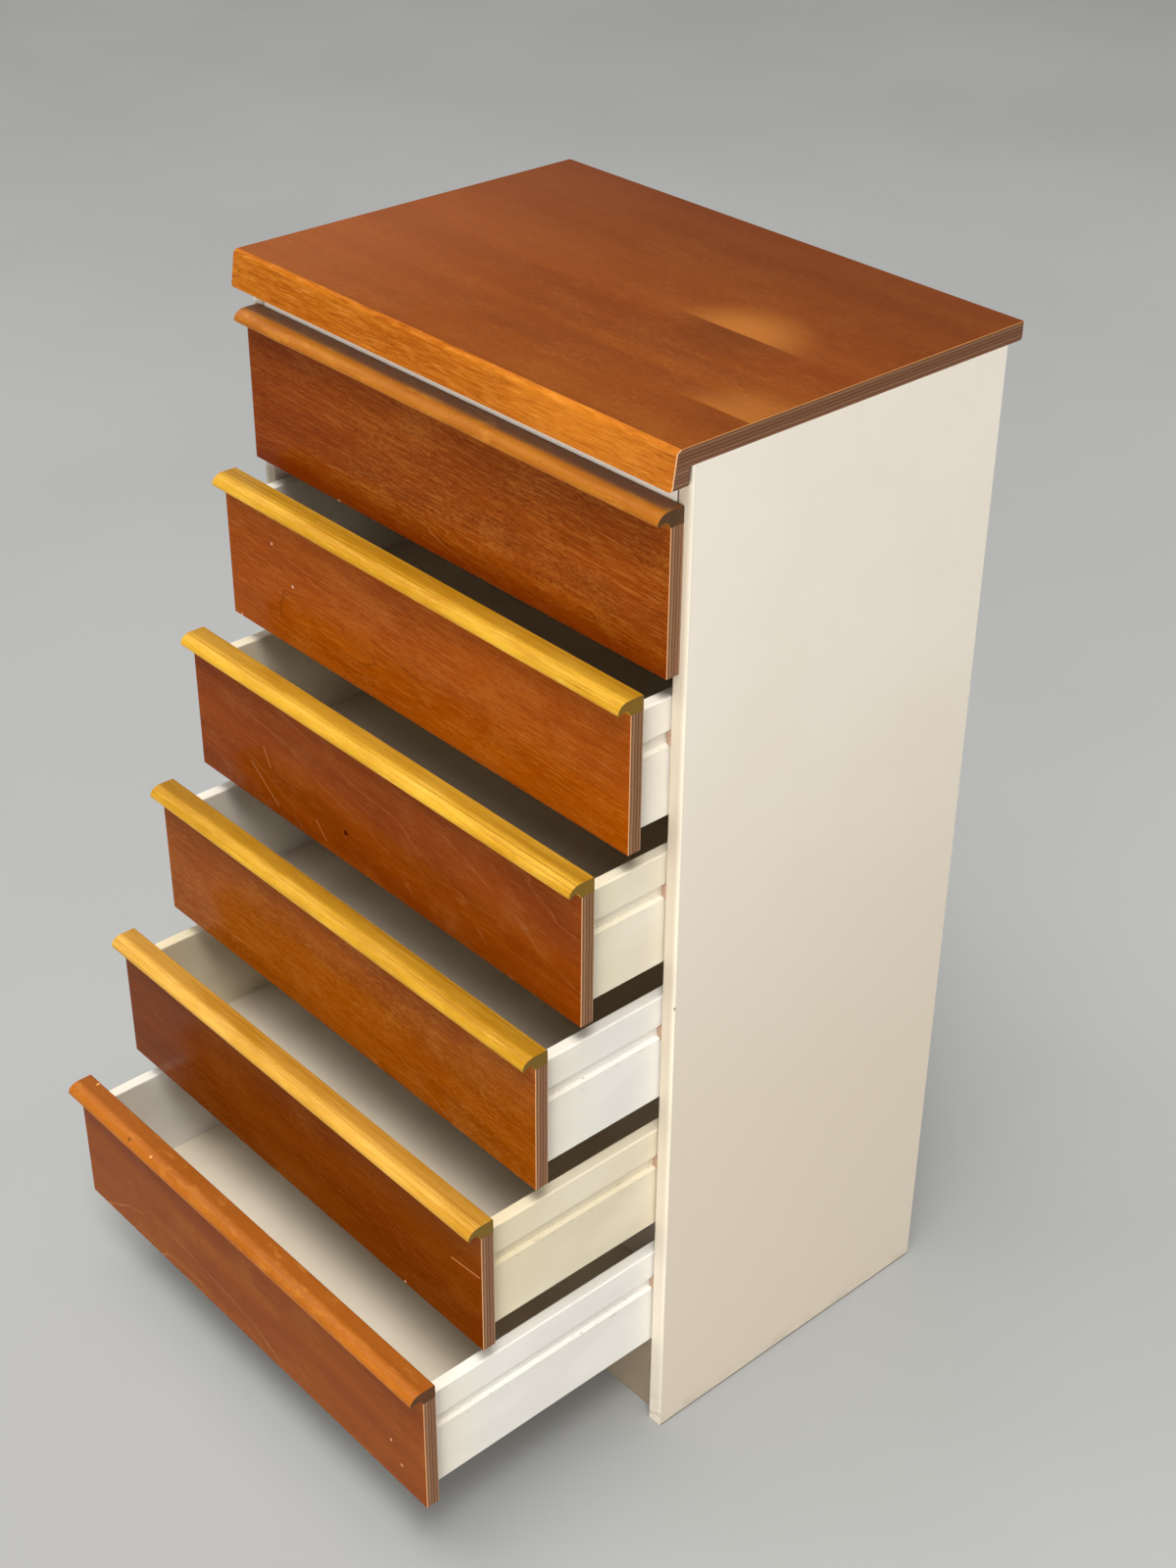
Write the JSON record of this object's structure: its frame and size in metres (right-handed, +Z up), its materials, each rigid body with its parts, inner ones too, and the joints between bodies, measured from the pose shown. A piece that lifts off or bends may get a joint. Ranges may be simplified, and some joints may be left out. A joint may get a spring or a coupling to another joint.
{
  "type": "tall chest of drawers",
  "caption": "Tall narrow chest of drawers: pale faced-board carcass, plywood top with a turned-down lip and full-width drawers with handle rails, hung on side runners.",
  "frame": {"origin": "on the floor, at the middle of the plinth's underside, half way across the chest", "axes": "+Z up, +X to the right as seen from the front, +Y to the back; the drawers pull out along -Y"},
  "size_m": [0.553, 0.6536, 1.008],
  "materials": {
    "white_board": "satin melamine faced board",
    "edge_strip": "satin edging",
    "back_board": "thin faced fibreboard",
    "teak_ply": "oiled red-brown plywood",
    "lip_veneer": "oiled orange-brown veneer",
    "handle_tan": "varnished hardwood",
    "handle_ochre": "varnished golden hardwood",
    "handle_orange": "varnished orange-brown hardwood",
    "drawer_white": "satin extruded plastic",
    "drawer_cream": "satin extruded plastic, yellowed",
    "drawer_back": "foil faced board",
    "drawer_floor": "foil faced fibreboard",
    "runner_plastic": "matt extruded plastic",
    "fixing_plastic": "matt moulded plastic",
    "screw_steel": "zinc plated"
  },
  "bodies": {
    "carcass": {"left_side_panel": "white_board", "right_side_panel": "white_board", "front_edge_strips": "edge_strip", "front_rail": "white_board", "rear_rail": "white_board", "plinth": "white_board", "back_panel": "back_board", "corner_blocks": "fixing_plastic", "top_panel": "teak_ply", "top_lip": "teak_ply", "lip_facing": "lip_veneer", "runner_screws": "screw_steel", "runners_1": "runner_plastic", "runners_2": "runner_plastic", "runners_3": "runner_plastic", "runners_4": "runner_plastic", "runners_5": "runner_plastic", "runners_6": "runner_plastic"},
    "drawer_1": {"drawer_1_front": "teak_ply", "drawer_1_handle": "handle_tan", "drawer_1_right_side": "drawer_white", "drawer_1_left_side": "drawer_white", "drawer_1_back": "drawer_back", "drawer_1_bottom": "drawer_floor", "drawer_1_corner_plugs": "fixing_plastic"},
    "drawer_2": {"drawer_2_front": "teak_ply", "drawer_2_handle": "handle_ochre", "drawer_2_right_side": "drawer_white", "drawer_2_left_side": "drawer_white", "drawer_2_back": "drawer_back", "drawer_2_bottom": "drawer_floor", "drawer_2_corner_plugs": "fixing_plastic"},
    "drawer_3": {"drawer_3_front": "teak_ply", "drawer_3_handle": "handle_ochre", "drawer_3_right_side": "drawer_cream", "drawer_3_left_side": "drawer_cream", "drawer_3_back": "drawer_back", "drawer_3_bottom": "drawer_floor", "drawer_3_corner_plugs": "fixing_plastic"},
    "drawer_4": {"drawer_4_front": "teak_ply", "drawer_4_handle": "handle_ochre", "drawer_4_right_side": "drawer_white", "drawer_4_left_side": "drawer_white", "drawer_4_back": "drawer_back", "drawer_4_bottom": "drawer_floor", "drawer_4_corner_plugs": "fixing_plastic"},
    "drawer_5": {"drawer_5_front": "teak_ply", "drawer_5_handle": "handle_ochre", "drawer_5_right_side": "drawer_cream", "drawer_5_left_side": "drawer_cream", "drawer_5_back": "drawer_back", "drawer_5_bottom": "drawer_floor", "drawer_5_corner_plugs": "fixing_plastic"},
    "drawer_6": {"drawer_6_front": "teak_ply", "drawer_6_handle": "handle_orange", "drawer_6_right_side": "drawer_white", "drawer_6_left_side": "drawer_white", "drawer_6_back": "drawer_back", "drawer_6_bottom": "drawer_floor", "drawer_6_corner_plugs": "fixing_plastic"}
  },
  "joints": [
    {"name": "drawer_1_slide", "type": "slide", "parent": "carcass", "child": "drawer_1", "axis": [0, -1, 0], "range_m": [0, 0.2751]},
    {"name": "drawer_2_slide", "type": "slide", "parent": "carcass", "child": "drawer_2", "axis": [0, -1, 0], "range_m": [-0.03604, 0.23906]},
    {"name": "drawer_3_slide", "type": "slide", "parent": "carcass", "child": "drawer_3", "axis": [0, -1, 0], "range_m": [-0.08418, 0.19092]},
    {"name": "drawer_4_slide", "type": "slide", "parent": "carcass", "child": "drawer_4", "axis": [0, -1, 0], "range_m": [-0.1326, 0.1425]},
    {"name": "drawer_5_slide", "type": "slide", "parent": "carcass", "child": "drawer_5", "axis": [0, -1, 0], "range_m": [-0.19174, 0.08336]},
    {"name": "drawer_6_slide", "type": "slide", "parent": "carcass", "child": "drawer_6", "axis": [0, -1, 0], "range_m": [-0.25749, 0.01761]}
  ]
}
